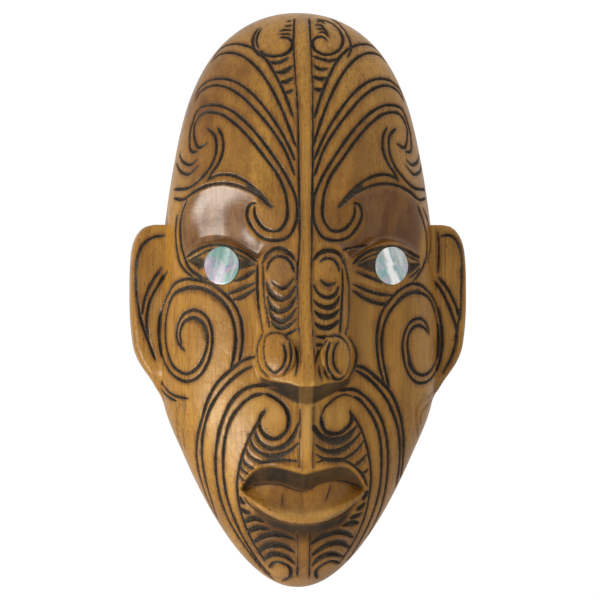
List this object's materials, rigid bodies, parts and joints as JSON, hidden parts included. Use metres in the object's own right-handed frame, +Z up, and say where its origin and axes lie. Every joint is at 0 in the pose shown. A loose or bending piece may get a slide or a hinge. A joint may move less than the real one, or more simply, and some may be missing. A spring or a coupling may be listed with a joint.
{
  "type": "wall mask",
  "caption": "Carved wooden wall mask with side ears, shell eye discs, a scooped back and a swinging ring hanger.",
  "frame": {"origin": "on the flat back plane, where the wall nail carries the hanger ring when the ring is raised", "axes": "+Z up, +Y out of the flat back towards the wall, face looking along -Y, -X is the viewer's left"},
  "size_m": [0.1766, 0.0779, 0.302],
  "materials": {
    "carved_wood": "satin varnish over golden brown wood, cuts stained near black",
    "shell": "polished pearly shell",
    "glue": "dark resin",
    "strap_steel": "zinc plated",
    "ring_steel": "zinc plated wire",
    "screw_steel": "zinc plated"
  },
  "bodies": {
    "mask": {"mask_body": "carved_wood", "left_eye_disc": "shell", "right_eye_disc": "shell", "left_eye_adhesive": "glue", "right_eye_adhesive": "glue", "hanger_strap": "strap_steel", "upper_hanger_screw": "screw_steel", "lower_hanger_screw": "screw_steel"},
    "ring": {"hanger_ring": "ring_steel"}
  },
  "joints": [
    {"name": "ring_swing", "type": "hinge", "parent": "mask", "child": "ring", "pos_m": [0, -0.004, -0.0119], "axis": [1, 0, 0], "range_deg": [0, 180]}
  ]
}
